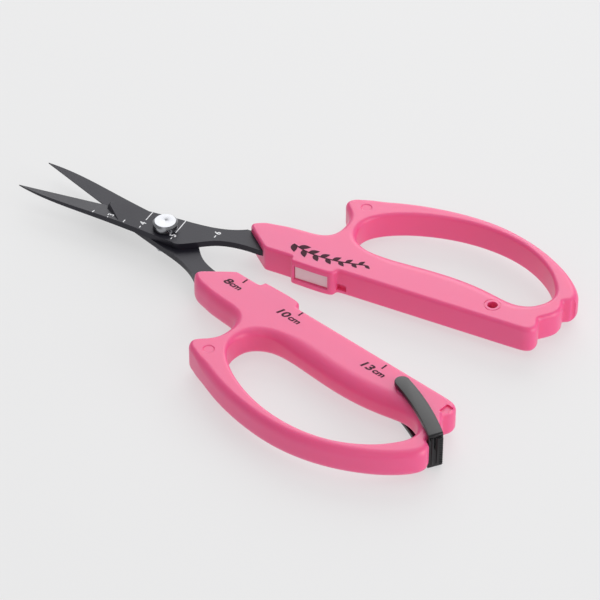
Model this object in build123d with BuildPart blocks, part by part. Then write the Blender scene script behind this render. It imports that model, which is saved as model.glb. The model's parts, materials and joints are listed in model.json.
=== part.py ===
"""Floral snips: two looped handles, opposing magnets that spring them open, and a lock bail.

The two halves are the same blade and the same moulded handle. The second half is
turned over about its own length, so every sketch is drawn once in the frame of a
half: x runs from the pivot to the handle end, y runs out towards the finger loop,
and z = 0 is the plane where the blades touch. All sizes are millimetres.
"""
import os
from math import cos, sin, radians

from build123d import *

os.makedirs("parts", exist_ok=True)

# ---- driving dimensions -------------------------------------------------------
blade_reach = 46.3          # pivot axis to blade tip
open_angle = 16.43          # between the halves in the resting, open pose
blade_thick = 1.8
blade_gap = 0.03            # half of the running gap between the blades
handle_thick = 8.0
bolt_dia = 4.0
bolt_head_dia = 6.9
bolt_head_height = 2.3
washer_thick = 0.5
nut_height = 2.2
nut_width = 6.0
grip_round = 2.6            # soft rounding of the bar where the fingers press
rim_chamfer = 1.0           # the loop's rims
bar_round = 1.1             # rounding of the bar's inner rims
magnet_length, magnet_height, magnet_depth = 9.9, 4.3, 3.0
magnet_middle = 43.85       # along the bar
magnet_recess = 0.45        # the magnet sits this far behind the boss face
boss_start, boss_end = 37.8, 50.8
boss_face = 0.25            # how far the boss face stays from the line through the pivot
boss_round = 0.7
window_chamfer = 0.25
pin_along, pin_out = 93.6, 7.4  # hole through the handle bar that carries the bail
pin_dia, pin_length = 2.6, 2.5
pin_hole_dia = 2.8
pin_ring_dia, pin_ring_width = 4.7, 0.25
mark_depth = 0.15           # of the rings and dots sunk into the handle faces
horn_tip = (39.4, 31.5)     # pointed corner of the loop, before its rounding
horn_round = 1.6
horn_dot = (46, 30)
dot_dia = 3.3
slot_length, slot_depth = 2.8, 3.2  # slot in the bar beside the boss
slot_low, slot_high = 2.6, 0.5
groove_dia = 1.9            # detent for the bail's crosspiece in the loop's rear wall
bail_arm_width = 4.0
bail_arm_thick = 1.2
bail_arm_clear = 0.3        # between an arm and the handle face
bail_arm_bow = 0.8          # how far an arm bows towards the end of the bar
bail_inner_radius = 18.6    # pin axis to the inside of the crosspiece
bail_wall = 1.3
bail_bend = 0.6
bail_angle = 25.6           # crosspiece direction, from the bar towards the loop
pivot_height = handle_thick / 2 + bail_arm_clear + bail_arm_thick
pivot_at = (-31.85, 0, pivot_height)  # puts the origin under the middle of the whole tool

half_thick = handle_thick / 2
half_open = radians(open_angle / 2)
upper_half = Plane(origin=pivot_at, x_dir=(cos(half_open), sin(half_open), 0), z_dir=(0, 0, 1))
lower_half = Plane(origin=pivot_at, x_dir=(cos(half_open), -sin(half_open), 0), z_dir=(0, 0, -1))


def in_half(half, thing):
    """Centre of an edge or face, in the frame of the given half."""
    return half.to_local_coords(thing.center())


def arcs_through(start, heading, *points):
    """Draws arcs from point to point, each tangent to the one before, and gives back the last point."""
    for point in points:
        arc = TangentArc(start, point, tangent=heading)
        start, heading = arc @ 1, arc % 1
    return start


# ---- blades: a flat inner face, an outer face ground to the edge, and a tang ----
for blade_name, half in (("upper_blade", upper_half), ("lower_blade", lower_half)):
    with BuildPart() as blade:
        with BuildSketch(half.offset(blade_gap)):
            with BuildLine():
                edge = Spline((-blade_reach, 0.1), (-30, 1.9), (-6.5, 4.3), (0, 4.8))
                shoulder = Spline(edge @ 1, (8, 5.3), (15, 6.6), (20.3, 9.2))
                tang = Polyline(shoulder @ 1, (36, 9.2), (36, 4.2), (27, 2.7))
                neck = Spline(tang @ 1, (21, 2.6), (15, 1.0), (10, -2.5), (6.6, -4.8))
                stop = ThreePointArc(neck @ 1, (5.6, -5.0), (4.6, -4.8))
                spine = Spline(stop @ 1, (0, -4.4), (-6, -3.9), (-20, -2.9), (-40, -1.3),
                               (-blade_reach, 0.1))
            make_face()
        extrude(amount=blade_thick)
        grind = half * Plane(origin=(-15, -3.4, blade_thick + blade_gap), x_dir=(1, 0.08, 0.005),
                             z_dir=(-0.0224, 0.2164, 1))
        with BuildSketch(grind):
            with BuildLine():
                Polyline((-40, -6), (2.8, -0.4), (-3.6, 5.2), (-6, 12), (-40, 12), close=True)
            make_face()
        extrude(amount=3, taper=-30, mode=Mode.SUBTRACT)
        with BuildSketch(half):
            Circle(bolt_dia / 2 + 0.05)
        extrude(amount=blade_thick * 2, mode=Mode.SUBTRACT)
    blade.part.label = blade_name
    export_step(blade.part, f"parts/{blade_name}.step")

# ---- handles: a bar with the magnet boss and the bail hole, and a finger loop ----
for handle_name, half in (("back_handle", upper_half), ("front_handle", lower_half)):
    with BuildPart() as bar:
        with BuildSketch(half):
            with BuildLine():
                nose = Line((29.4, 2.0), (21.0, 9.3))
                corner = ThreePointArc(nose @ 1, (20.8, 10.5), (21.9, 11.5))
                hump_end = arcs_through(corner @ 1, (1, 0.48), (36, 14.65))
                waist = Line(hump_end, (58, 14.45))
                grip_end = arcs_through(waist @ 1, waist % 1, (68, 14.85), (80, 15.0), (99, 11.9))
                Polyline(grip_end, (107.6, 5.2), (107.6, 2.0), nose @ 0)
            make_face()
            fillet(vertices().sort_by(Axis.X)[-2:].sort_by(Axis.Y)[0], radius=2.4)
        extrude(amount=half_thick, both=True)
        rims = bar.edges().filter_by(lambda e: abs(in_half(half, e).Z) > half_thick - 0.01)
        fillet(rims.filter_by(lambda e: in_half(half, e).Y > 11.7), radius=grip_round)
        rims = bar.edges().filter_by(lambda e: abs(in_half(half, e).Z) > half_thick - 0.01)
        fillet(rims.filter_by(lambda e: in_half(half, e).Y < 4.5), radius=bar_round)

    with BuildPart() as boss:
        with BuildSketch(half):
            with Locations(((boss_start + boss_end) / 2, boss_face + 2)):
                Rectangle(boss_end - boss_start, 4)
        extrude(amount=half_thick, both=True)
        face_rims = boss.edges().filter_by(lambda e: in_half(half, e).Y < boss_face + 0.01)
        fillet(face_rims, radius=boss_round)

    with BuildPart() as loop:
        with BuildSketch(half):
            with BuildLine():
                throat_end = arcs_through((36.5, 13.6), (1, 0.1), (43.1, 18.6), (43.5, 24.3), (41.3, 29.3))
                Line(throat_end, horn_tip)
                crown_end = arcs_through(horn_tip, (1, 0.48), (56, 38.0), (71.7, 40.5), (87.4, 38.7),
                                         (101.9, 32.4), (112.3, 20.7))
                Polyline(crown_end, (109.4, 17.2), (110.3, 13.4), (106.4, 7.6), (92, 7.6), (92, 6),
                         (36.5, 6), (36.5, 13.6))
            make_face()
            fillet(vertices().sort_by_distance(horn_tip)[0], radius=horn_round)
            with BuildLine():
                opening_end = arcs_through((58, 14.4), (-1, -0.3), (47.9, 21.8), (52.4, 29.7),
                                           (65.2, 35.0), (76.4, 36.5), (87.3, 35.3), (99.7, 29.1),
                                           (105.5, 20.9), (98.5, 12.3))
                Polyline(opening_end, (98.5, 5), (58, 5), (58, 14.4))
            make_face(mode=Mode.SUBTRACT)
            # groove that the bail's crosspiece clicks into
            with Locations((112.2, 18.9)):
                Circle(groove_dia / 2, mode=Mode.SUBTRACT)
        extrude(amount=half_thick, both=True)
        rims = loop.edges().filter_by(lambda e: abs(in_half(half, e).Z) > half_thick - 0.01)
        long_rims = rims.filter_by(GeomType.CIRCLE).filter_by(lambda e: e.radius > horn_round - 0.01)
        chamfer(long_rims, length=rim_chamfer)

    with BuildPart() as handle:
        add(bar.part)
        add(boss.part)
        add(loop.part)
        # pocket for the tang of the blade
        with BuildSketch(half.offset(blade_gap)):
            with BuildLine():
                Polyline((15, 7), (20.3, 9.2), (36, 9.2), (36, 4.2), (27, 2.7), (20, 0), close=True)
            make_face()
        extrude(amount=blade_thick, mode=Mode.SUBTRACT)
        # window for the magnet, and the slot beside its frame
        window = half * Plane(origin=(magnet_middle, boss_face, 0), x_dir=(1, 0, 0), z_dir=(0, -1, 0))
        with BuildSketch(window):
            Rectangle(magnet_length, magnet_height)
        extrude(amount=-magnet_recess - magnet_depth, mode=Mode.SUBTRACT)
        with BuildSketch(window):
            Rectangle(magnet_length + 2 * window_chamfer, magnet_height + 2 * window_chamfer)
        extrude(amount=-window_chamfer, taper=45, mode=Mode.SUBTRACT)
        with BuildSketch(half.offset(-slot_low)):
            with Locations((boss_end + slot_length / 2, slot_depth)):
                Rectangle(slot_length, 2 * slot_depth)
        extrude(amount=slot_low - slot_high, mode=Mode.SUBTRACT)
        # hole for the bail pin, with a fine ring about it, and a shallow dot on the horn
        with BuildSketch(half):
            with Locations((pin_along, pin_out)):
                Circle(pin_hole_dia / 2)
        extrude(amount=half_thick, both=True, mode=Mode.SUBTRACT)
        for face_side in (1, -1):
            with BuildSketch(half.offset(face_side * half_thick)):
                with Locations((pin_along, pin_out)):
                    Circle(pin_ring_dia / 2)
                    Circle(pin_ring_dia / 2 - pin_ring_width, mode=Mode.SUBTRACT)
                with Locations(horn_dot):
                    Circle(dot_dia / 2)
            extrude(amount=-face_side * mark_depth, mode=Mode.SUBTRACT)
    handle.part.label = handle_name
    export_step(handle.part, f"parts/{handle_name}.step")

# ---- magnets, like poles facing each other -----------------------------------
for magnet_name, half in (("back_magnet", upper_half), ("front_magnet", lower_half)):
    with BuildPart() as magnet:
        with BuildSketch(half):
            with Locations((magnet_middle, boss_face + magnet_recess + magnet_depth / 2)):
                Rectangle(magnet_length, magnet_depth)
        extrude(amount=magnet_height / 2, both=True)
        chamfer(magnet.edges(), length=0.2)
    magnet.part.label = magnet_name
    export_step(magnet.part, f"parts/{magnet_name}.step")

# ---- pivot: shouldered bolt from above, washer and nut from below ---------------
pivot_plane = Plane(origin=pivot_at)
head_base = blade_gap + blade_thick
with BuildPart() as pivot_bolt:
    with BuildSketch(pivot_plane.offset(head_base)):
        Circle(bolt_head_dia / 2)
    extrude(amount=bolt_head_height)
    head_rim = pivot_bolt.edges().group_by(Axis.Z)[-1]
    chamfer(head_rim, length=0.5)
    with BuildSketch(pivot_plane.offset(head_base)):
        Circle(bolt_dia / 2)
    extrude(amount=-(2 * head_base + washer_thick + nut_height + 0.3))
    dimple_base = pivot_plane.offset(head_base + bolt_head_height - 0.35)
    with BuildSketch(dimple_base):
        Circle(0.45)
    extrude(amount=0.35, taper=-30, mode=Mode.SUBTRACT)
pivot_bolt.part.label = "pivot_bolt"
export_step(pivot_bolt.part, "parts/pivot_bolt.step")

with BuildPart() as pivot_washer:
    with BuildSketch(pivot_plane.offset(-head_base)):
        Circle(3.6)
        Circle(bolt_dia / 2, mode=Mode.SUBTRACT)
    extrude(amount=-washer_thick)
pivot_washer.part.label = "pivot_washer"
export_step(pivot_washer.part, "parts/pivot_washer.step")

with BuildPart() as pivot_nut:
    with BuildSketch(pivot_plane.offset(-head_base - washer_thick)):
        RegularPolygon(nut_width / 2, 6, major_radius=False)
        Circle(bolt_dia / 2, mode=Mode.SUBTRACT)
    extrude(amount=-nut_height)
pivot_nut.part.label = "pivot_nut"
export_step(pivot_nut.part, "parts/pivot_nut.step")

# ---- lock bail: two bowed arms joined by a ribbed crosspiece behind the handle end ----
bail_turn = -half_open - radians(bail_angle)
bail_plane = Plane(origin=lower_half.from_local_coords((pin_along, pin_out, 0)),
                   x_dir=(cos(bail_turn), sin(bail_turn), 0), z_dir=(0, 0, 1))
with BuildPart() as lock_bail:
    arm_base = half_thick + bail_arm_clear
    side = bail_arm_width / 2
    outer_radius = bail_inner_radius + bail_wall
    bow_at = outer_radius / 2 - 1
    with BuildSketch(bail_plane):
        with BuildLine():
            ThreePointArc((-1.8, -side), (bow_at, bail_arm_bow - side), (outer_radius, -side))
            Line((outer_radius, -side), (outer_radius, side))
            ThreePointArc((outer_radius, side), (bow_at, bail_arm_bow + side), (-1.8, side))
            ThreePointArc((-1.8, side), (-3.9, 0), (-1.8, -side))
        make_face()
    extrude(amount=arm_base + bail_arm_thick, both=True)
    back_face = lock_bail.faces().sort_by(Axis(bail_plane.origin, bail_plane.x_dir))[-1]
    fillet(back_face.edges().filter_by(GeomType.LINE).sort_by(Axis.Z)[::3], radius=bail_bend)
    with BuildSketch(bail_plane):
        with Locations((bail_inner_radius / 2 - 5, 0)):
            Rectangle(bail_inner_radius + 10, bail_arm_width + 4)
    extrude(amount=arm_base, both=True, mode=Mode.SUBTRACT)
    # thumb ribs up the crosspiece, a narrow one and a broad one
    with BuildSketch(bail_plane):
        for rib_middle, rib_width, rib_height in ((-0.9, 0.5, 0.3), (1.0, 1.6, 0.5)):
            with Locations((outer_radius, rib_middle)):
                Rectangle(2 * rib_height, rib_width)
    extrude(amount=arm_base, both=True)
    for face_side in (1, -1):
        with BuildSketch(bail_plane.offset(face_side * arm_base)):
            Circle(pin_dia / 2)
        extrude(amount=-face_side * pin_length)
lock_bail.part.label = "lock_bail"
export_step(lock_bail.part, "parts/lock_bail.step")
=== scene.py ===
# %% [markdown]
# Floral snips: two pink moulded handles, two black blades on a bright bolt, and a black lock bail.
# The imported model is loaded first, as a fixed frame. Every piece below is made in metres in that
# frame, so nothing has to be fitted afterwards.
# %% Load the frame
import json
from math import cos, sin, radians, pi

import bmesh
import bpy
import numpy as np
from mathutils import Matrix, Vector
from mathutils.bvhtree import BVHTree


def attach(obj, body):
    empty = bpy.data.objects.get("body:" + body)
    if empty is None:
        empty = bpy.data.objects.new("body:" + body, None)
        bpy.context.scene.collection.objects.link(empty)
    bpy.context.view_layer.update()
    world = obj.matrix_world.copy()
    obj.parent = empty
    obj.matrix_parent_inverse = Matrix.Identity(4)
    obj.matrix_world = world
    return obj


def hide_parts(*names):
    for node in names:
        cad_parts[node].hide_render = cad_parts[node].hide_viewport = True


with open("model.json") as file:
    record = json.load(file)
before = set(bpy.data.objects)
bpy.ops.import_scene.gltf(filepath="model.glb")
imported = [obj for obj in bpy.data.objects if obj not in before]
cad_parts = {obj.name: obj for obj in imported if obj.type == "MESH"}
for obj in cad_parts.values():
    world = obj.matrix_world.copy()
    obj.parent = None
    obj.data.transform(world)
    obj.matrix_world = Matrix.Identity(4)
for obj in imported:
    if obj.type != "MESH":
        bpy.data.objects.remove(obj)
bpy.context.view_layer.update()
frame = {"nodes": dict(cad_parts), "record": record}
MM = 0.001
print("nodes", sorted(frame["nodes"]))

# %% [markdown]
# Both halves of the tool are the same blade and the same moulding. One of them is turned over about
# its own length. Each outline is therefore drawn once, in the frame of a half: x runs from the pivot
# to the end of the handle, y runs out towards the finger loop and z is up out of that half's own face.
# A matrix takes those millimetres to the row frame.
# %% The frames of the two halves
joints = {joint["name"]: joint for joint in frame["record"]["behaviour"]["joints"]}
pivot_at = Vector(joints["blade_pivot"]["pos_m"])
bail_at = Vector(joints["bail_swing"]["pos_m"])
half_open = radians(16.43 / 2)      # half of the opening between the handles at rest
upper_half = Matrix.Translation(pivot_at) @ Matrix.Rotation(half_open, 4, "Z") @ Matrix.Scale(MM, 4)
lower_half = (Matrix.Translation(pivot_at) @ Matrix.Rotation(-half_open, 4, "Z")
              @ Matrix.Rotation(pi, 4, "X") @ Matrix.Scale(MM, 4))
halves = {"back": (upper_half, "upper_half"), "front": (lower_half, "lower_half")}
print("pivot at", [round(c, 4) for c in pivot_at], "opening", round(2 * half_open * 180 / pi, 2))

# %% [markdown]
# The camera comes early, because everything is judged through it. It stands well back with a long
# lens, which keeps the two handles nearly parallel in the picture, as on a catalogue page.
# %% Camera
CAMERA_AZIMUTH, CAMERA_HEIGHT = radians(35.04), radians(39.48)
CAMERA_DISTANCE = 815.4 * MM
aim = pivot_at + Vector((46.39, -2.63, 0)) * MM
back = Vector((sin(CAMERA_AZIMUTH) * cos(CAMERA_HEIGHT), -cos(CAMERA_AZIMUTH) * cos(CAMERA_HEIGHT),
               sin(CAMERA_HEIGHT)))
camera_data = bpy.data.cameras.new("camera")
camera_data.sensor_width, camera_data.lens = 36, 185.06
camera = bpy.data.objects.new("camera", camera_data)
bpy.context.scene.collection.objects.link(camera)
camera.location = aim + back * CAMERA_DISTANCE
camera.rotation_mode = "QUATERNION"
camera.rotation_quaternion = (-back).to_track_quat("-Z", "Y")
bpy.context.scene.camera = camera
bpy.context.scene.view_settings.view_transform = "Standard"
print("camera at", [round(c, 3) for c in camera.location])

# %% [markdown]
# A plain pale floor and large soft lights suit a glossy moulding. The broadest light stands behind
# the tool and above it, so the flat faces carry a pale sheen, and the walls that face the camera
# fall into a deeper, purer pink. A light from the right lifts the ends of the handles, and faint
# ones from above and in front soften the step from face to wall.
# %% Floor and lights
def colour(red, green, blue):
    """A colour given as it looks on screen, 0 to 255, as the linear values that a shader wants."""
    return tuple(((c / 255 + 0.055) / 1.055) ** 2.4 if c > 10 else c / 255 / 12.92
                 for c in (red, green, blue)) + (1.0,)


def area_light(name, place, size, power):
    light = bpy.data.lights.new(name, "AREA")
    light.shape, light.size, light.energy = "DISK", size, power
    lamp = bpy.data.objects.new(name, light)
    bpy.context.scene.collection.objects.link(lamp)
    lamp.location = Vector(place)
    lamp.rotation_mode = "QUATERNION"
    lamp.rotation_quaternion = (aim - lamp.location).to_track_quat("-Z", "Y")
    return lamp


FLOOR_REACH = 3.0
floor_mesh = bpy.data.meshes.new("floor")
floor_mesh.from_pydata([(-FLOOR_REACH, -FLOOR_REACH, 0), (FLOOR_REACH, -FLOOR_REACH, 0),
                        (FLOOR_REACH, FLOOR_REACH, 0), (-FLOOR_REACH, FLOOR_REACH, 0)], [], [(0, 1, 2, 3)])
floor = bpy.data.objects.new("floor", floor_mesh)
floor.location.z = -0.0004
bpy.context.scene.collection.objects.link(floor)
floor_paint = bpy.data.materials.new("floor_paint")
floor_paint.use_nodes = True
floor_shader = floor_paint.node_tree.nodes["Principled BSDF"]
floor_shader.inputs["Base Color"].default_value = colour(150, 150, 151)
floor_shader.inputs["Emission Color"].default_value = (1.0, 1.0, 1.0, 1.0)
floor_shader.inputs["Emission Strength"].default_value = 0.54      # a light table: shadows stay faint
floor_shader.inputs["Roughness"].default_value = 0.95
floor_shader.inputs["Specular IOR Level"].default_value = 0.1
floor_mesh.materials.append(floor_paint)
area_light("back_light", (-0.45, 1.0, 0.7), 1.3, 10.5)
area_light("right_light", (1.2, 0.15, 0.22), 0.8, 8.0)
area_light("top_light", (0.1, 0.1, 1.2), 1.0, 2.6)
area_light("front_light", (0.35, -1.0, 0.75), 1.0, 1.5)
world = bpy.data.worlds.new("studio")
bpy.context.scene.world = world
world.use_nodes = True
world.node_tree.nodes["Background"].inputs["Color"].default_value = (1.0, 1.0, 1.0, 1.0)
world.node_tree.nodes["Background"].inputs["Strength"].default_value = 0.38

# %% [markdown]
# Every material is a Principled shader with noise behind it, read on Object coordinates, so that the
# grain stays put when a piece moves. Moulded plastic is smooth with a very fine spark-eroded grain,
# the blades have a black satin coating, and the bolt is polished.
# %% Materials
def grained(name, paint, roughness, metallic=0.0, grain=900, depth=0.05, mottling=0.04, **sockets):
    """A material with fine grain in its bump, and slow mottling in its colour and roughness."""
    material = bpy.data.materials.new(name)
    material.use_nodes = True
    nodes, links = material.node_tree.nodes, material.node_tree.links
    shader = nodes["Principled BSDF"]
    shader.inputs["Metallic"].default_value = metallic
    for socket, value in sockets.items():
        shader.inputs[socket.replace("_", " ")].default_value = value
    place = nodes.new("ShaderNodeTexCoord")
    slow = nodes.new("ShaderNodeTexNoise")
    slow.inputs["Scale"].default_value = 60
    slow.inputs["Detail"].default_value = 3
    links.new(place.outputs["Object"], slow.inputs["Vector"])
    tint = nodes.new("ShaderNodeMix")
    tint.data_type = "RGBA"
    low = tuple(c * (1 - mottling) for c in paint[:3]) + (1.0,)
    high = tuple(min(1.0, c * (1 + mottling)) for c in paint[:3]) + (1.0,)
    tint.inputs[6].default_value, tint.inputs[7].default_value = low, high
    links.new(slow.outputs["Fac"], tint.inputs[0])
    links.new(tint.outputs[2], shader.inputs["Base Color"])
    sheen = nodes.new("ShaderNodeMapRange")
    sheen.inputs["To Min"].default_value = roughness * 0.88
    sheen.inputs["To Max"].default_value = roughness * 1.12
    links.new(slow.outputs["Fac"], sheen.inputs["Value"])
    links.new(sheen.outputs["Result"], shader.inputs["Roughness"])
    fine = nodes.new("ShaderNodeTexNoise")
    fine.inputs["Scale"].default_value = grain
    fine.inputs["Detail"].default_value = 2
    links.new(place.outputs["Object"], fine.inputs["Vector"])
    bump = nodes.new("ShaderNodeBump")
    bump.inputs["Strength"].default_value = depth
    bump.inputs["Distance"].default_value = 0.0002
    links.new(fine.outputs["Fac"], bump.inputs["Height"])
    links.new(bump.outputs["Normal"], shader.inputs["Normal"])
    return material


pink_plastic = grained("pink_plastic", colour(236, 86, 141), 0.42, grain=2600, depth=0.06, mottling=0.02,
                       Coat_Weight=0.3, Coat_Roughness=0.35, Subsurface_Weight=0.35,
                       Subsurface_Scale=0.004, Subsurface_Radius=(1.0, 0.3, 0.45))
black_steel = grained("black_steel", colour(34, 33, 42), 0.42, metallic=0.2, grain=1800, depth=0.12,
                      Specular_IOR_Level=0.35)
bright_steel = grained("bright_steel", colour(158, 159, 163), 0.24, metallic=1.0, grain=700, depth=0.02)
zinc_steel = grained("zinc_steel", colour(170, 172, 178), 0.35, metallic=1.0, grain=900, depth=0.08)
nickel = grained("nickel", colour(228, 206, 210), 0.45, metallic=0.25, grain=700, depth=0.1)
bail_black = grained("bail_black", colour(18, 17, 21), 0.34, metallic=0.1, grain=1600, depth=0.08,
                     Specular_IOR_Level=0.35, Coat_Weight=0.2, Coat_Roughness=0.2)
scale_white = grained("scale_white", colour(240, 240, 243), 0.55, grain=1500, depth=0.05)
print_ink = grained("print_ink", colour(66, 12, 38), 0.6, grain=1500, depth=0.05,
                    Specular_IOR_Level=0.2)


def give(node, material):
    mesh = frame["nodes"][node].data
    mesh.materials.clear()
    mesh.materials.append(material)


for node in ("upper_blade", "lower_blade"):
    give(node, black_steel)
for node in ("back_magnet", "front_magnet"):
    give(node, nickel)
print("materials", len(bpy.data.materials))

# %% [markdown]
# Small mesh helpers come next. Everything is modelled in the millimetres of a half, and `settle`
# writes its place into the mesh, marks the crisp edges and hands the piece to its body.
# %% Mesh helpers
CRISP = radians(32)     # edges that turn by more than this are shaded as sharp
QUARTER = radians(90)


def settle(piece, place, material, body, slot_name, *replaced):
    """Gives a piece its place, its material and its body, and hides the CAD nodes that it stands for."""
    piece.data.transform(place)
    if material:
        piece.data.materials.clear()
        piece.data.materials.append(material)
    for polygon in piece.data.polygons:
        polygon.use_smooth = True
    piece.data.set_sharp_from_angle(angle=CRISP)
    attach(piece, body)
    if replaced:
        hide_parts(*replaced)
    print(piece.name, len(piece.data.polygons), "faces")
    return piece


def linked(name, data):
    piece = bpy.data.objects.new(name, data)
    bpy.context.scene.collection.objects.link(piece)
    return piece


def from_bmesh(name, mesh):
    data = bpy.data.meshes.new(name)
    mesh.to_mesh(data)
    mesh.free()
    return linked(name, data)


def applied(piece):
    """The piece as a plain mesh, with its modifiers worked in and taken off."""
    bpy.context.view_layer.update()
    evaluated = piece.evaluated_get(bpy.context.evaluated_depsgraph_get())
    data = bpy.data.meshes.new_from_object(evaluated)
    result = linked(piece.name + "_made", data)
    name = piece.name
    bpy.data.objects.remove(piece)
    result.name = name
    return result


def prism(mesh, outline, low, high, place=Matrix(), flare=0.0):
    """Adds a closed prism on an outline to the mesh, with its high end wider by the flare."""
    centre = Vector((sum(p[0] for p in outline), sum(p[1] for p in outline))) / len(outline)
    rings = []
    for height, grow in ((low, 0.0), (high, flare)):
        ring = []
        for x, y in outline:
            out = (Vector((x, y)) - centre).normalized() * grow
            ring.append(mesh.verts.new(place @ Vector((x + out.x, y + out.y, height))))
        rings.append(ring)
    count = len(outline)
    faces = [mesh.faces.new(rings[0][::-1]), mesh.faces.new(rings[1])]
    for i in range(count):
        j = (i + 1) % count
        faces.append(mesh.faces.new((rings[0][i], rings[0][j], rings[1][j], rings[1][i])))
    bmesh.ops.recalc_face_normals(mesh, faces=faces)


def disc(x, y, radius, count=48):
    return [(x + radius * cos(2 * pi * i / count), y + radius * sin(2 * pi * i / count))
            for i in range(count)]


def rectangle(x0, x1, y0, y1):
    return [(x0, y0), (x1, y0), (x1, y1), (x0, y1)]


def carve(piece, cutter):
    """Cuts one closed mesh out of another."""
    cut = piece.modifiers.new("cut", "BOOLEAN")
    cut.operation, cut.solver, cut.object = "DIFFERENCE", "MANIFOLD", cutter
    result = applied(piece)
    bpy.data.objects.remove(cutter)
    return result


print("mesh helpers ready")

# %% [markdown]
# The handle is one moulding: a straight bar, a loop for the fingers and a small horn. Its walls are
# soft in different ways. The bar is widely rounded where the fingers press, the loop has a smaller
# radius, and the boss for the magnet is nearly sharp. One way is to bevel a flat plate, but a
# bevel has one width. Here the outline is cut into rings that step inwards and upwards along a
# quarter ellipse, and each stretch of the outline says how wide and how tall its ellipse is.
# %% Outline helpers
STEP = 0.45     # spacing of points along an outline, in millimetres


def curve_through(points, count=24):
    """A smooth open curve through a few points, or the straight line between two."""
    points = np.array(points, float)
    if len(points) == 2:
        return points[0] + np.linspace(0, 1, count)[:, None] * (points[1] - points[0])
    chord = np.concatenate([[0], np.cumsum(np.linalg.norm(np.diff(points, axis=0), axis=1) ** 0.5)])
    count_knots = len(points)
    gap = np.diff(chord)
    slopes = np.diff(points, axis=0) / gap[:, None]
    system = np.zeros((count_knots, count_knots))
    right = np.zeros((count_knots, 2))
    system[0, :2] = 2, 1
    system[-1, -2:] = 1, 2
    right[0], right[-1] = 3 * slopes[0], 3 * slopes[-1]
    for i in range(1, count_knots - 1):
        system[i, i - 1:i + 2] = gap[i], 2 * (gap[i - 1] + gap[i]), gap[i - 1]
        right[i] = 3 * (gap[i] * slopes[i - 1] + gap[i - 1] * slopes[i])
    tangent = np.linalg.solve(system, right)
    pieces = []
    for i in range(count_knots - 1):
        t = np.linspace(0, 1, count)[:, None]
        h = gap[i]
        pieces.append((2 * t**3 - 3 * t**2 + 1) * points[i] + (t**3 - 2 * t**2 + t) * h * tangent[i]
                      + (3 * t**2 - 2 * t**3) * points[i + 1] + (t**3 - t**2) * h * tangent[i + 1])
    return np.concatenate(pieces)


def blur(values, reach):
    """Evens out values along a closed outline, over about that many millimetres."""
    steps = int(3 * reach / STEP) + 1
    weights = np.exp(-0.5 * (np.arange(-steps, steps + 1) * STEP / reach) ** 2)
    weights /= weights.sum()
    wrapped = np.concatenate([values[-steps:], values, values[:steps]])
    return np.stack([np.convolve(column, weights, "valid") for column in wrapped.T], axis=1)


def closed_outline(stretches, corner=0.45, blend=1.6):
    """Points, and the rounding's width and height at each, of stretches given as (points, width, height)."""
    points, rounding = [], []
    for path, width, height in stretches:
        piece = curve_through(path)
        points.append(piece)
        rounding.append(np.tile((width, height), (len(piece), 1)))
    points, rounding = np.concatenate(points), np.concatenate(rounding)
    length = np.concatenate([[0], np.cumsum(np.linalg.norm(np.diff(points, axis=0), axis=1))])
    even = np.linspace(0, length[-1], int(length[-1] / STEP), endpoint=False)
    points = np.stack([np.interp(even, length, column) for column in points.T], axis=1)
    rounding = np.stack([np.interp(even, length, column) for column in rounding.T], axis=1)
    return blur(points, corner), blur(rounding, blend)


def inward(points):
    """Unit normals that point into the material, which lies to the left of the outline."""
    along = np.roll(points, -1, axis=0) - np.roll(points, 1, axis=0)
    along /= np.linalg.norm(along, axis=1)[:, None]
    return np.stack([-along[:, 1], along[:, 0]], axis=1)


def stepped_in(points, distance):
    """The outline moved into the material, kept that far from every point of it."""
    moved = points + inward(points) * distance[:, None]
    for _ in range(12):
        away = moved[:, None, :] - points[None, :, :]
        gaps = np.linalg.norm(away, axis=2)
        nearest = gaps.argmin(axis=1)
        rows = np.arange(len(points))
        near = gaps[rows, nearest]
        short = near < distance * 0.995
        if not short.any():
            break
        push = away[rows, nearest] / np.maximum(near, 1e-6)[:, None]
        moved[short] += push[short] * (distance - near)[short][:, None]
    return moved


print("outline helpers ready")

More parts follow.
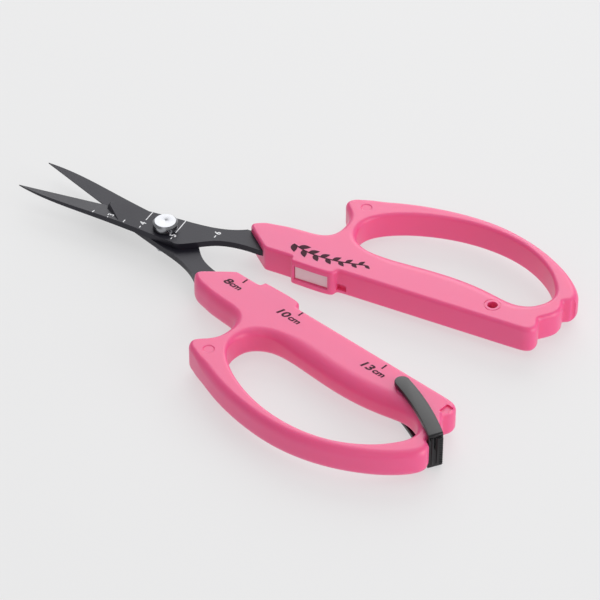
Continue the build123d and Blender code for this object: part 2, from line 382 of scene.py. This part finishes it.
# %% [markdown]
# Both outlines go round the handle once, stretch by stretch. A stretch is a few points that a smooth
# curve passes through, then the width and the height of the rounding along it.
# %% Outlines of the handle
HALF_THICK = 4.0        # half of the handle's thickness
handle_outside = [
    ([(29.2, 2.0), (37.6, 2.0)], 0.8, 0.9),
    ([(37.6, 2.0), (37.8, 0.3)], 0.5, 0.6),
    ([(37.8, 0.3), (49.8, 0.3), (50.6, 0.9), (50.8, 2.0)], 0.6, 0.6),
    ([(50.8, 2.0), (104.8, 2.0)], 1.1, 1.1),
    ([(104.8, 2.0), (106.8, 2.8), (107.6, 5.0), (106.5, 7.8)], 1.2, 1.8),
    ([(106.5, 7.8), (109.7, 11.6), (110.3, 13.6), (110.1, 15.6), (109.4, 17.3)], 1.1, 1.5),
    ([(109.4, 17.3), (111.5, 18.3)], 1.0, 1.0),
    ([(111.5, 18.3), (112.3, 20.6), (110.6, 24.4), (106, 29.2), (100, 33.4), (93, 36.9), (84, 39.6),
      (75, 40.5), (65, 39.8), (55, 37.7), (47, 34.9)], 2.0, 2.4),
    ([(47, 34.9), (42.9, 33.2)], 1.3, 1.4),
    ([(42.9, 33.2), (41.3, 32.5), (40.2, 31.3), (39.9, 29.9), (40.6, 28.4), (41.9, 26.8)], 1.2, 1.6),
    ([(41.9, 26.8), (42.8, 25.3), (43.5, 23.5), (43.6, 21.3)], 1.8, 2.2),
    ([(43.6, 21.3), (43.1, 18.5), (41.8, 16.2), (39.4, 15.0), (36, 14.6)], 2.3, 2.9),
    ([(36, 14.6), (30, 14.1)], 2.0, 2.8),
    ([(30, 14.1), (24.9, 13.1)], 1.9, 3.1),
    ([(24.9, 13.1), (23.1, 12.2), (21.9, 11.0)], 1.7, 3.1),
    ([(21.9, 11.0), (21.2, 10.0), (21.6, 8.8)], 0.8, 1.3),
    ([(21.6, 8.8), (29.2, 2.0)], 0.6, 0.7),
]
handle_opening = [
    ([(47.8, 21.8), (48.2, 24.6), (50.3, 27.8), (56.5, 32.0), (66, 35.4), (76, 36.7), (86, 35.7),
      (95, 32.2), (102.3, 26.3), (105.3, 21.6)], 1.0, 1.0),
    ([(105.3, 21.6), (106.0, 18.8), (105.2, 15.8), (102.6, 13.2)], 1.8, 2.2),
    ([(102.6, 13.2), (98.5, 12.2), (91, 13.6), (83, 14.9), (75, 15.2), (66, 14.8), (58, 14.3)], 4.2, 3.0),
    ([(58, 14.3), (54, 14.5), (50.6, 16.1), (48.5, 18.6), (47.8, 21.8)], 2.2, 2.2),
]
outside, outside_rounding = closed_outline(handle_outside)
opening, opening_rounding = closed_outline(handle_opening, corner=0.8, blend=3.0)
print("outline points", len(outside), len(opening))

# %% [markdown]
# The two outlines become one closed solid: the walls are rings of quads, and a triangulation closes
# the flat top and bottom between the outer and the inner ring.
# %% Handle mesh
def signed_area(points):
    x, y = points.T
    return 0.5 * float(np.sum(x * np.roll(y, -1) - y * np.roll(x, -1)))


def wall_rings(mesh, points, rounding, is_hole):
    """Adds the rounded wall along one outline, and returns its two innermost rings of vertices."""
    material_left = signed_area(points) > 0
    if material_left == is_hole:
        points, rounding = points[::-1], rounding[::-1]
    width, height = rounding.T
    turns = np.radians([0, 12, 26, 40, 54, 68, 80, 90])     # steps round the quarter ellipse
    rings = []
    for turn in turns:
        ring = stepped_in(points, width * (1 - cos(turn)))
        rings.append(np.column_stack([ring, HALF_THICK - height + height * sin(turn)]))
    flat = stepped_in(points, width + 0.18)
    rings.append(np.column_stack([flat, np.full(len(flat), HALF_THICK)]))
    upper = [[mesh.verts.new(v) for v in ring] for ring in rings]
    lower = [[mesh.verts.new((x, y, -z)) for x, y, z in ring] for ring in rings]
    stack = lower[::-1] + upper
    for low_ring, high_ring in zip(stack, stack[1:]):
        for i in range(len(points)):
            j = (i + 1) % len(points)
            mesh.faces.new((low_ring[i], low_ring[j], high_ring[j], high_ring[i]))
    return upper[-1], lower[-1]


def handle_solid(name):
    mesh = bmesh.new()
    outer_top, outer_bottom = wall_rings(mesh, outside, outside_rounding, False)
    inner_top, inner_bottom = wall_rings(mesh, opening, opening_rounding, True)
    for rings in ((outer_top, inner_top), (outer_bottom, inner_bottom)):
        edges = [mesh.edges.get((ring[i], ring[(i + 1) % len(ring)]))
                 for ring in rings for i in range(len(ring))]
        bmesh.ops.triangle_fill(mesh, edges=edges, use_beauty=True)
    bmesh.ops.recalc_face_normals(mesh, faces=mesh.faces)
    return from_bmesh(name, mesh)


print("handle mesh ready")

# %% [markdown]
# The moulding has cut-outs: a framed window where the magnet shows, a small slot beside it, the
# pocket that holds the blade's tang, the hole for the bail with a fine ring about it, a shallow dot
# on the horn, an ejector mark by the bar's end and a groove that the bail clicks into. A boolean is
# the plain way to cut them, because each of them crosses a wall that is already there.
# %% Cut-outs of the handle
MAGNET_AT, MAGNET_LONG, MAGNET_HIGH = 43.85, 9.9, 4.3
WINDOW_GAP = 0.08
BOSS_FACE = 0.3
PIN_AT = (93.6, 7.4)
HORN_DOT = (46.0, 30.0)
# looking at the boss face: u along the bar, v up, and the third axis out of the face
BOSS_VIEW = Matrix(((1, 0, 0, MAGNET_AT), (0, 0, -1, BOSS_FACE), (0, 1, 0, 0), (0, 0, 0, 1)))


def handle_cutter(name):
    mesh = bmesh.new()
    long, high = MAGNET_LONG / 2 + WINDOW_GAP, MAGNET_HIGH / 2 + WINDOW_GAP
    prism(mesh, rectangle(-long, long, -high, high), -3.7, 1, BOSS_VIEW)
    prism(mesh, rectangle(50.8, 53.6, 1, 3.2), -2.6, -0.5)
    tang = [(15, 7), (20.3, 9.25), (36, 9.25), (36, 4.15), (27, 2.65), (20, 0)]
    prism(mesh, tang, 0, 1.86)
    prism(mesh, disc(*PIN_AT, 1.4), -5, 5)
    prism(mesh, rectangle(104.9, 107.0, 4.1, 7.4), -4.5, -3.45)
    prism(mesh, disc(112.1, 18.9, 0.95, 24), -3.4, 3.4)
    for face in (1, -1):
        flip = Matrix.Diagonal((1, face, face, 1))
        prism(mesh, [(x, face * y) for x, y in disc(*HORN_DOT, 1.35)], 3.82, 4.02, flip, flare=0.3)
    return from_bmesh(name, mesh)


def rim_cutter(name):
    """The window's chamfer, and a thin washer on each face that leaves a groove about the pin hole."""
    mesh = bmesh.new()
    long, high = MAGNET_LONG / 2 + WINDOW_GAP, MAGNET_HIGH / 2 + WINDOW_GAP
    prism(mesh, rectangle(-long, long, -high, high), -0.3, 0.06, BOSS_VIEW, flare=0.5)
    for face in (1, -1):
        rings = [[mesh.verts.new((x, y, face * z)) for x, y in disc(*PIN_AT, r)]
                 for r, z in ((2.1, 3.85), (2.35, 3.85), (2.35, 4.1), (2.1, 4.1))]
        for k in range(4):
            inner, outer = rings[k], rings[(k + 1) % 4]
            for i in range(len(inner)):
                j = (i + 1) % len(inner)
                mesh.faces.new((inner[i], inner[j], outer[j], outer[i]))
    bmesh.ops.recalc_face_normals(mesh, faces=mesh.faces)
    return from_bmesh(name, mesh)


mouldings = {}
for side, (place, body) in halves.items():
    handle = handle_solid(side + "_handle_moulding")
    handle = carve(handle, handle_cutter("handle_cutter"))
    handle = carve(handle, rim_cutter("rim_cutter"))
    mouldings[side] = settle(handle, place, pink_plastic, body, "handle_plastic", side + "_handle")

# %% [markdown]
# The pivot is a polished shouldered bolt, a washer and a nut. They are round about one axis, so a
# lathe makes them: a profile of radius and height, turned about the bolt. The nut is turned too, but
# its radius is cut back to the six flats, which leaves the curved corners that a real nut has.
# %% Pivot hardware
SHOULDER = 1.83         # from the plane where the blades touch to the blade's outer face
HEAD_HIGH = 2.3         # height of the bolt's head
TURNS = 96              # how many steps go round a turned piece
bolt_place = Matrix.Translation(pivot_at) @ Matrix.Scale(MM, 4)


def turned_rings(mesh, profile, radius_at=lambda angle, radius: radius):
    """Rings of vertices, one for each (radius, height) of a profile, about the bolt's axis."""
    angles = [2 * pi * i / TURNS for i in range(TURNS)]
    return [[mesh.verts.new((radius_at(angle, radius) * cos(angle), radius_at(angle, radius) * sin(angle),
                             height)) for angle in angles] for radius, height in profile]


def band(mesh, near, far):
    """A band of faces between two rings."""
    for i in range(TURNS):
        j = (i + 1) % TURNS
        mesh.faces.new((near[i], near[j], far[j], far[i]))


def lathe(name, profile):
    """Turns a profile of (radius, height) from the axis out and back to it, for a solid piece."""
    mesh = bmesh.new()
    rings = turned_rings(mesh, profile)
    for near, far in zip(rings, rings[1:]):
        band(mesh, near, far)
    mesh.faces.new(rings[0])
    mesh.faces.new(rings[-1])
    bmesh.ops.recalc_face_normals(mesh, faces=mesh.faces)
    return from_bmesh(name, mesh)


def threaded(start, end, core=1.85, crest=2.0, pitch=0.7):
    """The profile of a threaded end, ring by ring."""
    steps = int((start - end) / pitch * 4)
    return [(crest if k % 4 in (1, 2) else core, start - k * pitch / 4) for k in range(steps + 1)]


head_top = SHOULDER + HEAD_HIGH
bolt_profile = [(0.02, head_top - 0.06), (0.26, head_top - 0.05), (0.38, head_top), (2.9, head_top),
                (3.45, head_top - 0.55), (3.45, SHOULDER + 0.3), (3.15, SHOULDER), (2.0, SHOULDER),
                (2.0, -SHOULDER - 0.5)]
bolt_profile += threaded(-SHOULDER - 0.6, -SHOULDER - 2.95)
bolt_profile += [(1.5, -SHOULDER - 2.98), (0.05, -SHOULDER - 3.0)]
settle(lathe("shouldered_bolt", bolt_profile), bolt_place, bright_steel, "upper_half", "bolt_steel",
       "pivot_bolt")

# %% Washer and nut
WASHER_THICK = 0.5
washer_top, washer_bottom = -SHOULDER, -SHOULDER - WASHER_THICK
washer_profile = [(2.02, washer_bottom), (3.5, washer_bottom), (3.6, washer_bottom + 0.1),
                  (3.6, washer_top - 0.08), (3.52, washer_top), (2.02, washer_top)]


def turned_ring(name, profile, **shape):
    """A turned piece with a hole through it: its profile closes on itself instead of on the axis."""
    mesh = bmesh.new()
    rings = turned_rings(mesh, profile, **shape)
    for near, far in zip(rings, rings[1:] + rings[:1]):
        band(mesh, near, far)
    bmesh.ops.recalc_face_normals(mesh, faces=mesh.faces)
    return from_bmesh(name, mesh)


NUT_FLATS = 3.0         # half of the width across the flats


def hexagon_radius(angle, radius):
    """The radius, cut back to a hexagon's flats."""
    from_flat = (angle + pi / 6) % (pi / 3) - pi / 6
    return min(radius, NUT_FLATS / cos(from_flat))


NUT_HIGH = 2.2
nut_top, nut_bottom = washer_bottom - 0.02, washer_bottom - NUT_HIGH
nut_profile = [(2.02, nut_bottom), (2.9, nut_bottom), (3.5, nut_bottom + 0.34), (3.5, nut_top - 0.34),
               (2.9, nut_top), (2.02, nut_top)]
settle(turned_ring("plain_washer", washer_profile), bolt_place, zinc_steel, "upper_half", "nut_steel",
       "pivot_washer")
settle(turned_ring("hex_nut", nut_profile, radius_at=hexagon_radius), bolt_place, zinc_steel, "upper_half",
       "nut_steel", "pivot_nut")

# %% [markdown]
# The bail is a small black moulding with crisp but broken edges. Its CAD solid has the right shape,
# so a copy of that mesh is merged, its flat faces are joined again, and a narrow bevel breaks the
# edges.
# %% Lock bail
bail_copy = bmesh.new()
bail_copy.from_mesh(frame["nodes"]["lock_bail"].data)
bmesh.ops.remove_doubles(bail_copy, verts=bail_copy.verts, dist=0.02 * MM)
bmesh.ops.dissolve_limit(bail_copy, angle_limit=radians(1), verts=bail_copy.verts, edges=bail_copy.edges)
bail = from_bmesh("bent_bail", bail_copy)
soften = bail.modifiers.new("broken_edges", "BEVEL")
soften.width, soften.segments, soften.limit_method = 0.22 * MM, 3, "ANGLE"
soften.angle_limit = radians(35)
bail = applied(bail)
print("bail", len(bail.data.polygons), "faces")

# %% [markdown]
# The thumb teeth are a row of equal bars along one edge of the broad rib. Each could be placed by
# hand, but a short node tree sets their number, pitch and size in one place, and the row can be
# changed later without touching a single tooth.
# %% Thumb teeth by Geometry Nodes
BAIL_TURN = -half_open - radians(25.6)      # from the row frame's x axis to the bail's own
RIB_FACE, RIB_EDGE = 20.4, 1.8              # the broad rib's outer face, and its far edge
bail_place = Matrix.Translation(bail_at) @ Matrix.Rotation(BAIL_TURN, 4, "Z") @ Matrix.Scale(MM, 4)
own = np.array([(bail_place.inverted() @ v.co)[:] for v in bail.data.vertices])
print("bail in its own frame", own.min(axis=0).round(2), own.max(axis=0).round(2))


def teeth_tree(material):
    """A node tree that sets a row of small bars along a line."""
    tree = bpy.data.node_groups.new("bail_teeth", "GeometryNodeTree")
    add = tree.interface.new_socket
    add("Start", in_out="INPUT", socket_type="NodeSocketGeometry")
    count = add("Tooth count", in_out="INPUT", socket_type="NodeSocketInt")
    pitch = add("Tooth pitch", in_out="INPUT", socket_type="NodeSocketFloat")
    size = add("Tooth size", in_out="INPUT", socket_type="NodeSocketVector")
    add("Teeth", in_out="OUTPUT", socket_type="NodeSocketGeometry")
    nodes, links = tree.nodes, tree.links
    start, end = nodes.new("NodeGroupInput"), nodes.new("NodeGroupOutput")
    row = nodes.new("GeometryNodeMeshLine")
    step = nodes.new("ShaderNodeCombineXYZ")
    tooth = nodes.new("GeometryNodeMeshCylinder")
    tooth.inputs["Vertices"].default_value = 8
    tooth.inputs["Radius"].default_value = 0.5
    tooth.inputs["Depth"].default_value = 1.0
    points = nodes.new("GeometryNodeInstanceOnPoints")
    points.inputs["Rotation"].default_value = (QUARTER, 0, 0)
    real = nodes.new("GeometryNodeRealizeInstances")
    paint = nodes.new("GeometryNodeSetMaterial")
    paint.inputs["Material"].default_value = material
    links.new(start.outputs["Tooth count"], row.inputs["Count"])
    links.new(start.outputs["Tooth pitch"], step.inputs["Z"])
    links.new(step.outputs["Vector"], row.inputs["Offset"])
    links.new(row.outputs["Mesh"], points.inputs["Points"])
    links.new(tooth.outputs["Mesh"], points.inputs["Instance"])
    links.new(start.outputs["Tooth size"], points.inputs["Scale"])
    links.new(points.outputs["Instances"], real.inputs["Geometry"])
    links.new(real.outputs["Geometry"], paint.inputs["Geometry"])
    links.new(paint.outputs["Geometry"], end.inputs["Teeth"])
    return tree, (count.identifier, pitch.identifier, size.identifier)


seed = bpy.data.meshes.new("bail_teeth")
seed.from_pydata([(0, 0, 0)], [], [])
teeth = linked("bail_teeth", seed)
row = teeth.modifiers.new("teeth", "NODES")
row.node_group, (count_socket, pitch_socket, size_socket) = teeth_tree(bail_black)
row[count_socket], row[pitch_socket], row[size_socket] = 15, 0.6, (0.3, 0.34, 0.9)
teeth = applied(teeth)
TOOTH_INSET, LOWEST_TOOTH = 0.46, -4.2
teeth.data.transform(Matrix.Translation((RIB_FACE, RIB_EDGE - TOOTH_INSET, LOWEST_TOOTH)))
settle(teeth, bail_place, bail_black, "bail", "bail_black")
settle(bail, Matrix(), bail_black, "bail", "bail_black", "lock_bail")

# %% [markdown]
# The white scale on the blade and the dark figures on the handle are print: a film of ink that lies
# on the surface and follows it. Flat outlines could be cut into the face, but ink has no depth. Here
# each mark starts flat, is cut finely, and is dropped onto the surface below it, a few hundredths of
# a millimetre clear of it. The ticks repeat, so Geometry Nodes set them out from one curve: each
# point of a path gets a bar whose length comes from an attribute.
# %% Ticks by Geometry Nodes
def tick_tree(name, material):
    """A node tree that puts one upright bar on each point, as long as the point's tick_length."""
    tree = bpy.data.node_groups.new(name, "GeometryNodeTree")
    tree.interface.new_socket("Points", in_out="INPUT", socket_type="NodeSocketGeometry")
    width = tree.interface.new_socket("Line width", in_out="INPUT", socket_type="NodeSocketFloat")
    width.default_value = 0.3
    tree.interface.new_socket("Ticks", in_out="OUTPUT", socket_type="NodeSocketGeometry")
    nodes, links = tree.nodes, tree.links
    start, end = nodes.new("NodeGroupInput"), nodes.new("NodeGroupOutput")
    length = nodes.new("GeometryNodeInputNamedAttribute")
    length.data_type = "FLOAT"
    length.inputs["Name"].default_value = "tick_length"
    bar = nodes.new("GeometryNodeMeshGrid")
    bar.inputs["Size X"].default_value = 1.0
    bar.inputs["Size Y"].default_value = 1.0
    bar.inputs["Vertices X"].default_value = 2
    bar.inputs["Vertices Y"].default_value = 14
    size = nodes.new("ShaderNodeCombineXYZ")
    size.inputs["Z"].default_value = 1.0
    points = nodes.new("GeometryNodeInstanceOnPoints")
    real = nodes.new("GeometryNodeRealizeInstances")
    paint = nodes.new("GeometryNodeSetMaterial")
    paint.inputs["Material"].default_value = material
    links.new(start.outputs["Points"], points.inputs["Points"])
    links.new(bar.outputs["Mesh"], points.inputs["Instance"])
    links.new(start.outputs["Line width"], size.inputs["X"])
    links.new(length.outputs["Attribute"], size.inputs["Y"])
    links.new(size.outputs["Vector"], points.inputs["Scale"])
    links.new(points.outputs["Instances"], real.inputs["Geometry"])
    links.new(real.outputs["Geometry"], paint.inputs["Geometry"])
    links.new(paint.outputs["Geometry"], end.inputs["Ticks"])
    return tree, width.identifier


def ticks(name, tree, width_socket, width, rows):
    """Plain mesh of upright ticks, from rows of (x, lowest y, highest y)."""
    cloud = bpy.data.meshes.new(name)
    cloud.from_pydata([(x, (low + high) / 2, 0) for x, low, high in rows], [], [])
    lengths = cloud.attributes.new("tick_length", "FLOAT", "POINT")
    for i, (x, low, high) in enumerate(rows):
        lengths.data[i].value = high - low
    piece = linked(name, cloud)
    grow = piece.modifiers.new("ticks", "NODES")
    grow.node_group = tree
    grow[width_socket] = width
    return applied(piece)


blade_tick_tree, blade_tick_width = tick_tree("blade_ticks", scale_white)
handle_tick_tree, handle_tick_width = tick_tree("handle_ticks", print_ink)
print("tick trees ready")


# %% Lettering and the drop onto a surface
def lettering(name, rows, weight=0.012):
    """A flat mesh of short texts, each given as (text, height, centre x, centre y, turn, slant, width)."""
    mesh = bmesh.new()
    for words, height, x, y, turn, slant, stretch in rows:
        curve = bpy.data.curves.new(name, "FONT")
        curve.body, curve.size, curve.shear = words, 1.0, slant
        curve.resolution_u = 4
        curve.offset = weight
        text = linked(name, curve)
        bpy.context.view_layer.update()
        data = bpy.data.meshes.new_from_object(text.evaluated_get(bpy.context.evaluated_depsgraph_get()))
        bpy.data.objects.remove(text)
        corners = np.array([v.co[:2] for v in data.vertices])
        low, high = corners.min(axis=0), corners.max(axis=0)
        scale = height / (high[1] - low[1])
        middle = (low + high) / 2
        data.transform(Matrix.Translation((x, y, 0)) @ Matrix.Rotation(turn, 4, "Z")
                       @ Matrix.Diagonal((scale * stretch, scale, 1, 1))
                       @ Matrix.Translation((-middle[0], -middle[1], 0)))
        mesh.from_mesh(data)
        bpy.data.meshes.remove(data)
    return from_bmesh(name, mesh)


def dropped(piece, surface, towards, lift=0.03, cut=0.5):
    """Lays a flat mesh on a surface along z: on its upper face for towards = 1, its lower for -1."""
    mesh = bmesh.new()
    mesh.from_mesh(piece.data)
    bmesh.ops.triangulate(mesh, faces=mesh.faces)
    long_edges = [e for e in mesh.edges if e.calc_length() > cut]
    for _ in range(4):
        if not long_edges:
            break
        bmesh.ops.subdivide_edges(mesh, edges=long_edges, cuts=1, use_grid_fill=False)
        bmesh.ops.triangulate(mesh, faces=mesh.faces)
        long_edges = [e for e in mesh.edges if e.calc_length() > cut]
    lost = []
    for vertex in mesh.verts:
        hit = surface.ray_cast(Vector((vertex.co.x, vertex.co.y, 20 * towards)), Vector((0, 0, -towards)))
        if hit[0] is None:
            lost.append(vertex)
        else:
            vertex.co.z = hit[0].z + lift * towards
    bmesh.ops.delete(mesh, geom=lost, context="VERTS")
    bmesh.ops.delete(mesh, geom=[v for v in mesh.verts if not v.link_faces], context="VERTS")
    # the ink is a film with a little thickness, closed all round
    for face in mesh.faces:
        if face.normal.z * towards < 0:
            face.normal_flip()
    shell = bmesh.ops.extrude_face_region(mesh, geom=list(mesh.faces))
    moved = [e for e in shell["geom"] if isinstance(e, bmesh.types.BMVert)]
    bmesh.ops.translate(mesh, verts=moved, vec=(0, 0, -(lift + 0.02) * towards))
    bmesh.ops.recalc_face_normals(mesh, faces=mesh.faces)
    mesh.to_mesh(piece.data)
    mesh.free()
    return piece


def joined(name, *pieces):
    mesh = bmesh.new()
    for piece in pieces:
        mesh.from_mesh(piece.data)
        bpy.data.objects.remove(piece)
    return from_bmesh(name, mesh)


def surface_of(mesh_data, place):
    """A search tree of a mesh, in the millimetres of a half."""
    back_to_half = place.inverted()
    return BVHTree.FromPolygons([back_to_half @ v.co for v in mesh_data.vertices],
                                [list(p.vertices) for p in mesh_data.polygons])


print("lettering helpers ready")

# %% [markdown]
# The blade's scale counts centimetres from the tip. Half centimetres are short ticks near the edge,
# and four and five have long ticks across the blade. The figures stand along the blade.
# %% Scale on the blade
BLADE_REACH = 46.3
blade_rows = [(25 - BLADE_REACH, -2.9, -1.6), (29.9 - BLADE_REACH, -3.8, -2.7),
              (34.9 - BLADE_REACH, -3.2, -2.1),
              (40 - BLADE_REACH, 0.4, 4.2), (40 - BLADE_REACH, -3.3, -2.5), (49.9 - BLADE_REACH, -0.9, 4.9),
              (50 - BLADE_REACH, -3.9, -3.1), (60.2 - BLADE_REACH, 2.0, 3.0)]
blade_figures = [("3", 1.9, -16.2, -1.4, QUARTER, 0.0, 0.9), ("4", 1.9, -6.4, -1.2, QUARTER, 0.0, 0.9),
                 ("5", 1.9, 3.5, -2.2, QUARTER, 0.0, 0.9), ("6", 1.9, 13.8, 4.2, QUARTER, 0.0, 0.9)]
blade_scale = joined("blade_scale",
                     ticks("blade_tick_marks", blade_tick_tree, blade_tick_width, 0.28, blade_rows),
                     lettering("blade_figures", blade_figures, weight=0.02))
upper_surface = surface_of(frame["nodes"]["upper_blade"].data, upper_half)
settle(dropped(blade_scale, upper_surface, 1, 0.02), upper_half, scale_white, "upper_half", "blade_steel")

# %% [markdown]
# The front handle carries three lengths, to measure a stem against the tool. They are printed on
# the face that lies uppermost, which is this half's lower face, so they are mirrored before the half
# is turned over.
# %% Lengths on the front handle
length_rows = [(33.7, 2.8, 4.7), (53.7, 2.6, 4.5), (83.7, 3.4, 5.3)]
SLANT = 0.22


def length_figures():
    """Rows for the lettering helper: a large number and a smaller cm after it, along x, tops towards -y."""
    rows = []
    for words, x, y, wide in (("8", 30.6, 6.75, 1.3), ("10", 50.3, 6.3, 1.3), ("13", 80.5, 6.95, 1.3)):
        rows.append((words, 2.4, x, y, 0.0, SLANT, wide))
    for x, y in ((33.4, 7.15), (54.2, 6.7), (84.4, 7.35)):
        rows.append(("cm", 1.35, x, y, 0.0, SLANT, 1.2))
    return rows


figures = lettering("length_figures", [(w, h, x, -y, t, s, k) for w, h, x, y, t, s, k in length_figures()],
                    weight=0.03)
figures.data.transform(Matrix.Diagonal((1, -1, 1, 1)))
length_marks = joined("length_marks", ticks("length_tick_marks", handle_tick_tree, handle_tick_width, 0.46,
                                            length_rows), figures)
front_surface = surface_of(mouldings["front"].data, lower_half)
settle(dropped(length_marks, front_surface, -1), lower_half, print_ink, "lower_half", "handle_plastic")

# %% [markdown]
# The back handle has a printed ornament in the same ink: a sprig with paired leaves. The leaves
# follow its stem and grow smaller towards the tip, so Geometry Nodes place one leaf outline on
# points along the stem's curve, turned to the left and right by turns.
# %% Sprig on the back handle
def sprig_tree(material):
    tree = bpy.data.node_groups.new("sprig_leaves", "GeometryNodeTree")
    add = tree.interface.new_socket
    add("Stem", in_out="INPUT", socket_type="NodeSocketGeometry")
    add("Leaf", in_out="INPUT", socket_type="NodeSocketObject")
    count = add("Leaf count", in_out="INPUT", socket_type="NodeSocketInt")
    spread = add("Leaf angle", in_out="INPUT", socket_type="NodeSocketFloat")
    shrink = add("Tip scale", in_out="INPUT", socket_type="NodeSocketFloat")
    add("Leaves", in_out="OUTPUT", socket_type="NodeSocketGeometry")
    nodes, links = tree.nodes, tree.links

    def node(kind, **settings):
        made = nodes.new(kind)
        for key, value in settings.items():
            setattr(made, key, value)
        return made

    start, end = node("NodeGroupInput"), node("NodeGroupOutput")
    leaf = node("GeometryNodeObjectInfo")
    points = node("GeometryNodeCurveToPoints", mode="COUNT")
    index = node("GeometryNodeInputIndex")
    parity = node("ShaderNodeMath", operation="MODULO")
    parity.inputs[1].default_value = 2.0
    side = node("ShaderNodeMapRange")
    side.inputs["To Min"].default_value = -1.0
    side.inputs["To Max"].default_value = 1.0
    angle = node("ShaderNodeMath", operation="MULTIPLY")
    turn = node("ShaderNodeCombineXYZ")
    heading = node("ShaderNodeSeparateXYZ")
    arc = node("ShaderNodeMath", operation="ARCTAN2")
    total = node("ShaderNodeMath", operation="ADD")
    size = node("ShaderNodeMapRange")
    size.inputs["To Min"].default_value = 1.0
    place = node("GeometryNodeInstanceOnPoints")
    real = node("GeometryNodeRealizeInstances")
    paint = node("GeometryNodeSetMaterial")
    paint.inputs["Material"].default_value = material
    links.new(start.outputs["Stem"], points.inputs["Curve"])
    links.new(start.outputs["Leaf count"], points.inputs["Count"])
    links.new(start.outputs["Leaf"], leaf.inputs["Object"])
    links.new(index.outputs["Index"], parity.inputs[0])
    links.new(parity.outputs["Value"], side.inputs["Value"])
    links.new(side.outputs["Result"], angle.inputs[0])
    links.new(start.outputs["Leaf angle"], angle.inputs[1])
    links.new(points.outputs["Tangent"], heading.inputs["Vector"])
    links.new(heading.outputs["Y"], arc.inputs[0])
    links.new(heading.outputs["X"], arc.inputs[1])
    links.new(arc.outputs["Value"], total.inputs[0])
    links.new(angle.outputs["Value"], total.inputs[1])
    links.new(total.outputs["Value"], turn.inputs["Z"])
    links.new(index.outputs["Index"], size.inputs["Value"])
    links.new(start.outputs["Leaf count"], size.inputs["From Max"])
    links.new(start.outputs["Tip scale"], size.inputs["To Max"])
    links.new(points.outputs["Points"], place.inputs["Points"])
    links.new(leaf.outputs["Geometry"], place.inputs["Instance"])
    links.new(turn.outputs["Vector"], place.inputs["Rotation"])
    links.new(size.outputs["Result"], place.inputs["Scale"])
    links.new(place.outputs["Instances"], real.inputs["Geometry"])
    links.new(real.outputs["Geometry"], paint.inputs["Geometry"])
    links.new(paint.outputs["Geometry"], end.inputs["Leaves"])
    return tree, {"count": count.identifier, "angle": spread.identifier, "tip": shrink.identifier,
                  "leaf": next(s.identifier for s in tree.interface.items_tree if s.name == "Leaf")}


LEAF_LONG, LEAF_WIDE = 3.5, 0.9
leaf_side = [(LEAF_LONG * t, LEAF_WIDE * sin(pi * t ** 0.8)) for t in np.linspace(0.0, 1.0, 11)]
leaf_mesh = bmesh.new()
leaf_rim = leaf_side + [(x, -y) for x, y in leaf_side[-2:0:-1]]
leaf_mesh.faces.new([leaf_mesh.verts.new((x, y, 0)) for x, y in leaf_rim])
leaf = from_bmesh("one_leaf", leaf_mesh)

stem_points = [(35.6, 6.9), (40.2, 5.4), (45.6, 5.1), (51.2, 5.8), (56.6, 7.2)]
stem_line = curve_through(stem_points, 10)
stem_curve = bpy.data.curves.new("stem_curve", "CURVE")
stem_curve.dimensions = "3D"
run = stem_curve.splines.new("POLY")
run.points.add(len(stem_line) - 1)
for i, (x, y) in enumerate(stem_line):
    run.points[i].co = (x, y, 0, 1)
stem = linked("sprig_leaf_marks", stem_curve)
grow = stem.modifiers.new("leaves", "NODES")
grow.node_group, sockets = sprig_tree(print_ink)
grow[sockets["leaf"]] = leaf
grow[sockets["count"]] = 13
grow[sockets["angle"]] = radians(42)
grow[sockets["tip"]] = 0.55
leaves = applied(stem)
bpy.data.objects.remove(leaf)
stem_mesh = bmesh.new()
sides = inward(np.array(stem_line))
sides[0], sides[-1] = sides[1], sides[-2]
rails = [[stem_mesh.verts.new((x + s * 0.2 * nx, y + s * 0.2 * ny, 0))
          for (x, y), (nx, ny) in zip(stem_line, sides)] for s in (-1, 1)]
for i in range(len(stem_line) - 1):
    if (rails[0][i].co - rails[0][i + 1].co).length > 1e-4:
        stem_mesh.faces.new((rails[0][i], rails[0][i + 1], rails[1][i + 1], rails[1][i]))
sprig = joined("sprig_print", leaves, from_bmesh("sprig_stem", stem_mesh))
back_surface = surface_of(mouldings["back"].data, upper_half)
settle(dropped(sprig, back_surface, 1), upper_half, print_ink, "upper_half", "handle_plastic")
